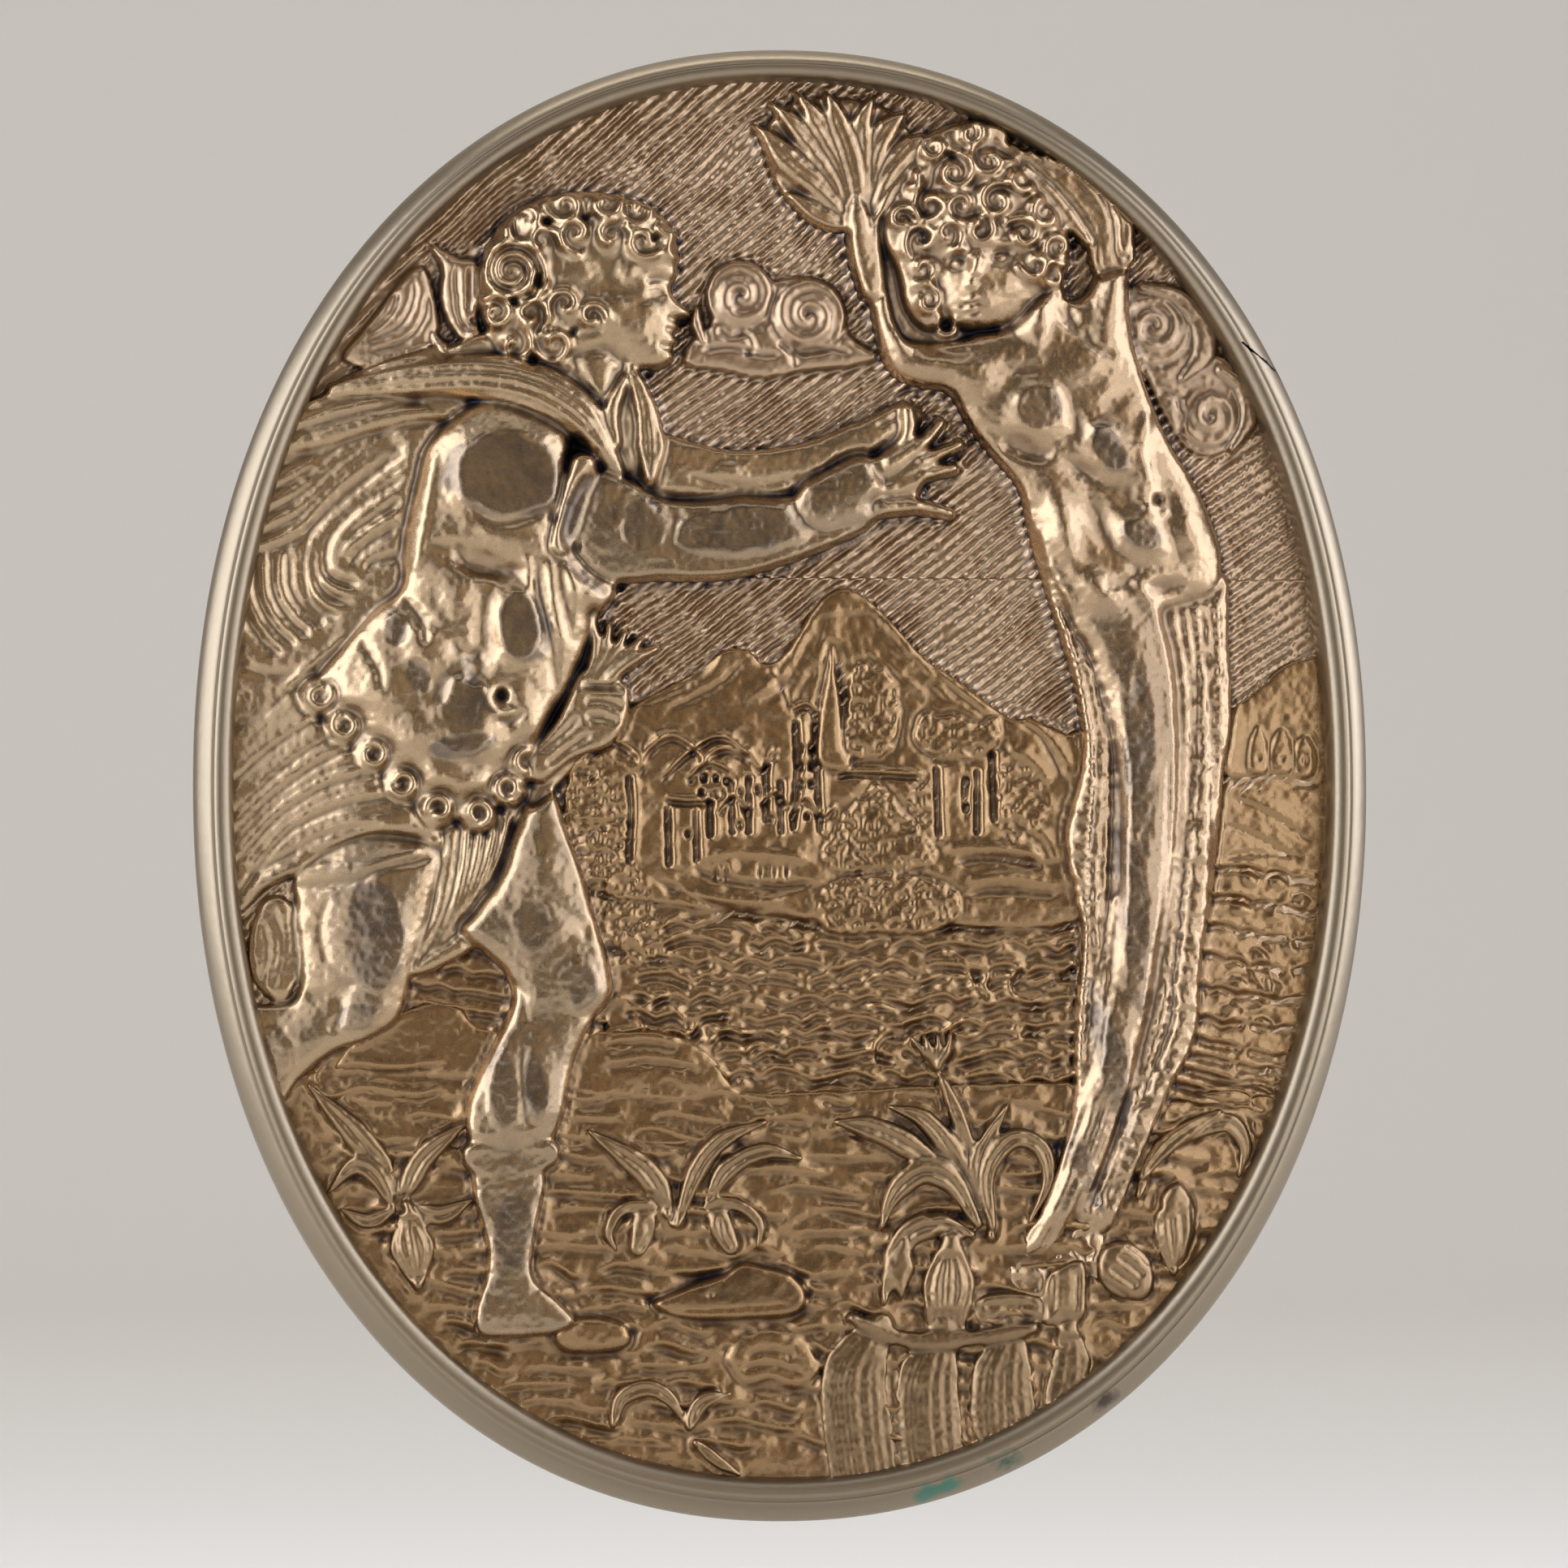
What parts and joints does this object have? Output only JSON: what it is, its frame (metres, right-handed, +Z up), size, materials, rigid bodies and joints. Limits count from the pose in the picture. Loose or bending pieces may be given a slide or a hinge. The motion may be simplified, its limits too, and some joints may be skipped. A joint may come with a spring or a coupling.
{
  "type": "relief plaque",
  "caption": "Upright oval plaque of cast gilt bronze with a raised rim and a low relief of a runner pursuing a figure that turns into a tree.",
  "frame": {"origin": "middle of the flat back, where the plaque is fixed to a wall or board", "axes": "+Z up along the long axis of the oval, +Y out of the back towards the wall, the relief faces -Y"},
  "size_m": [0.08, 0.0054, 0.1],
  "materials": {
    "gilt_bronze": "cast and chased gilt bronze, worn on the heights, dark in the recesses, matt punched ground"
  },
  "bodies": {
    "root": {"plaque": "gilt_bronze"}
  },
  "joints": []
}
